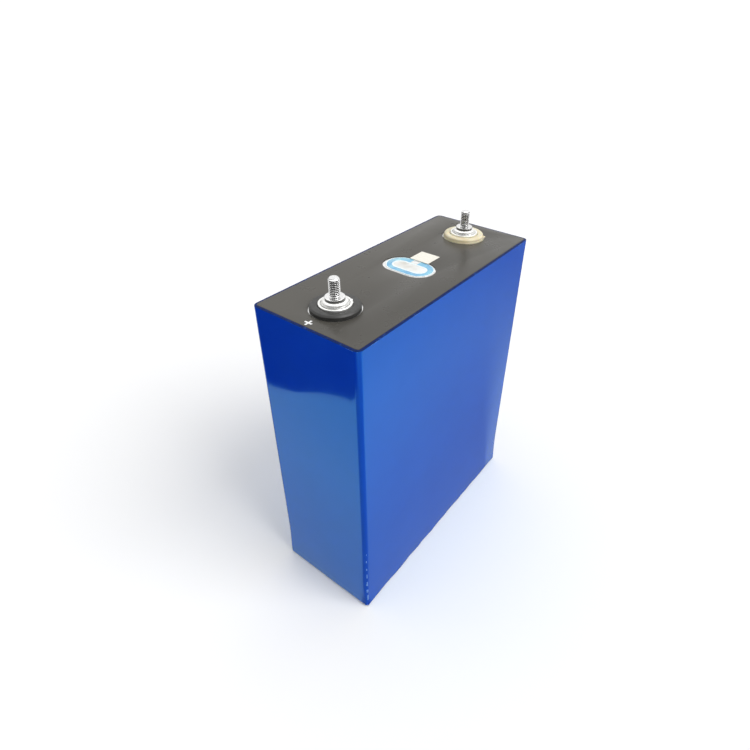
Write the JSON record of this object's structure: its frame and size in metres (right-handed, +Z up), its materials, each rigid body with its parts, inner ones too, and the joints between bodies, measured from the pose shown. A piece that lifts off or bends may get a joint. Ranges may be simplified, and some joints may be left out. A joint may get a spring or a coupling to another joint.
{
  "type": "prismatic battery cell",
  "caption": "Tall prismatic lithium cell in a glossy blue film sleeve, with a dark top sheet, an oval vent film and a threaded terminal stud at each end.",
  "frame": {"origin": "centre of the underside, on the surface the cell stands on", "axes": "+Z up, X along the long side with the positive terminal at -X and the negative one at +X, Y through the thickness"},
  "size_m": [0.1738, 0.0716, 0.2218],
  "materials": {
    "blue_film": "glossy blue polyester film",
    "dark_pad": "satin dark insulating sheet",
    "drawn_aluminium": "drawn, fine vertical draw lines",
    "lid_aluminium": "milled satin",
    "vent_foil": "thin bright membrane",
    "dark_sheet": "fine-grained satin, warm dark grey",
    "vent_film": "clear film with a pale blue printed ring",
    "label_paper": "matt cream label, blank",
    "white_print": "printed white ink",
    "black_plastic": "satin moulded",
    "natural_plastic": "satin moulded, slightly translucent",
    "terminal_aluminium": "turned and polished",
    "bright_steel": "bright zinc-nickel plated thread",
    "post_aluminium": "stamped",
    "aluminium_foil": "stacked foil",
    "copper": "bare copper",
    "black_rubber": "matt moulded",
    "white_plastic": "natural polypropylene",
    "electrode_roll": "separator over coated foil, wound",
    "green_tape": "polyester tape",
    "clear_film": "translucent film"
  },
  "bodies": {
    "root": {"bottom_pad": "dark_pad", "blue_film_wrap": "blue_film", "aluminium_can": "drawn_aluminium", "lid_plate": "lid_aluminium", "vent_burst_disc": "vent_foil", "fill_hole_plug": "black_rubber", "fill_hole_cap": "lid_aluminium", "top_cover_sheet": "dark_sheet", "vent_protective_film": "vent_film", "data_label": "label_paper", "polarity_mark_plus": "white_print", "positive_terminal_insulator": "black_plastic", "positive_terminal_disc": "terminal_aluminium", "positive_stud_base": "terminal_aluminium", "positive_m6_stud": "bright_steel", "positive_rivet_post": "post_aluminium", "positive_sealing_ring": "black_rubber", "positive_lower_insulator": "white_plastic", "positive_current_collector": "post_aluminium", "positive_tab_a": "aluminium_foil", "positive_tab_b": "aluminium_foil", "negative_terminal_insulator": "natural_plastic", "negative_terminal_disc": "terminal_aluminium", "negative_stud_base": "terminal_aluminium", "negative_m6_stud": "bright_steel", "negative_rivet_post": "copper", "negative_sealing_ring": "black_rubber", "negative_lower_insulator": "white_plastic", "negative_current_collector": "copper", "negative_tab_a": "copper", "negative_tab_b": "copper", "jelly_roll_a": "electrode_roll", "jelly_roll_b": "electrode_roll", "jelly_roll_tape_a": "green_tape", "jelly_roll_tape_b": "green_tape", "inner_insulating_bag": "clear_film", "inner_support_plate": "white_plastic"}
  },
  "joints": []
}
